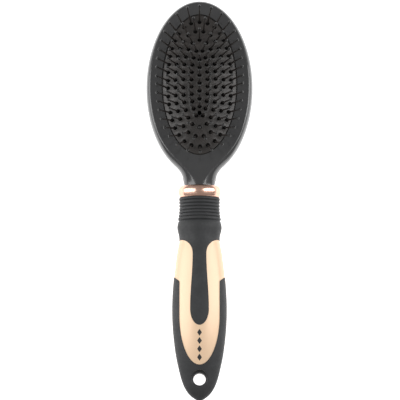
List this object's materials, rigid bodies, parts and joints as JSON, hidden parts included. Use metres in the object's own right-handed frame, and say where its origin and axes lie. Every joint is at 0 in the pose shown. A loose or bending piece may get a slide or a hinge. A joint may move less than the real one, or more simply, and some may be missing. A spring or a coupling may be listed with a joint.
{
  "type": "oval cushion hair brush",
  "caption": "Oval hair brush with ball-tipped pins on a domed rubber air cushion, a glossy head, a metal ferrule and a ribbed two-part soft grip with a hanging hole.",
  "frame": {"origin": "middle of the bounding box's bottom face, on the surface that the brush lies on", "axes": "+Y from the handle to the head, +Z out of the pin side, X across; the brush is symmetric about X = 0"},
  "size_m": [0.0644, 0.2437, 0.0396],
  "materials": {
    "head_plastic": "polished graphite grey plastic",
    "cushion_rubber": "smooth dark rubber with a soft gloss",
    "inner_plastic": "plain moulded black plastic",
    "pin_nylon": "smooth dark grey-brown nylon",
    "rose_gold_metal": "rose gold plated, polished",
    "rose_gold_paint": "rose gold metallic paint on plastic, satin",
    "grip_rubber": "soft-touch matte rubber"
  },
  "bodies": {
    "head": {"head_back_shell": "head_plastic", "front_frame": "head_plastic", "cushion": "cushion_rubber", "cushion_base": "inner_plastic", "ferrule": "rose_gold_metal", "handle_core": "rose_gold_paint", "grip_sleeve": "grip_rubber", "grip_tail": "grip_rubber"},
    "pins_middle": {"pins_ring_0": "pin_nylon"},
    "pins_1": {"pins_ring_1": "pin_nylon"},
    "pins_2": {"pins_ring_2": "pin_nylon"},
    "pins_3": {"pins_ring_3": "pin_nylon"},
    "pins_4": {"pins_ring_4": "pin_nylon"}
  },
  "joints": [
    {"name": "cushion_press", "type": "slide", "parent": "head", "child": "pins_middle", "axis": [0, 0, 1], "range_m": [-0.004, 0], "stiffness_N_per_m": 1500, "deforming": ["cushion"]},
    {"name": "ring_1_press", "type": "slide", "parent": "head", "child": "pins_1", "axis": [0, 0, 1], "range_m": [-0.00384, 0], "stiffness_N_per_m": 800, "deforming": ["cushion"]},
    {"name": "ring_2_press", "type": "slide", "parent": "head", "child": "pins_2", "axis": [0, 0, 1], "range_m": [-0.00324, 0], "stiffness_N_per_m": 800, "deforming": ["cushion"]},
    {"name": "ring_3_press", "type": "slide", "parent": "head", "child": "pins_3", "axis": [0, 0, 1], "range_m": [-0.0024, 0], "stiffness_N_per_m": 800, "deforming": ["cushion"]},
    {"name": "ring_4_press", "type": "slide", "parent": "head", "child": "pins_4", "axis": [0, 0, 1], "range_m": [-0.0012, 0], "stiffness_N_per_m": 800, "deforming": ["cushion"]}
  ],
  "couplings": [
    {"joint": "ring_1_press", "follows": "cushion_press", "ratio": 0.91},
    {"joint": "ring_2_press", "follows": "cushion_press", "ratio": 0.76},
    {"joint": "ring_3_press", "follows": "cushion_press", "ratio": 0.55},
    {"joint": "ring_4_press", "follows": "cushion_press", "ratio": 0.25}
  ]
}
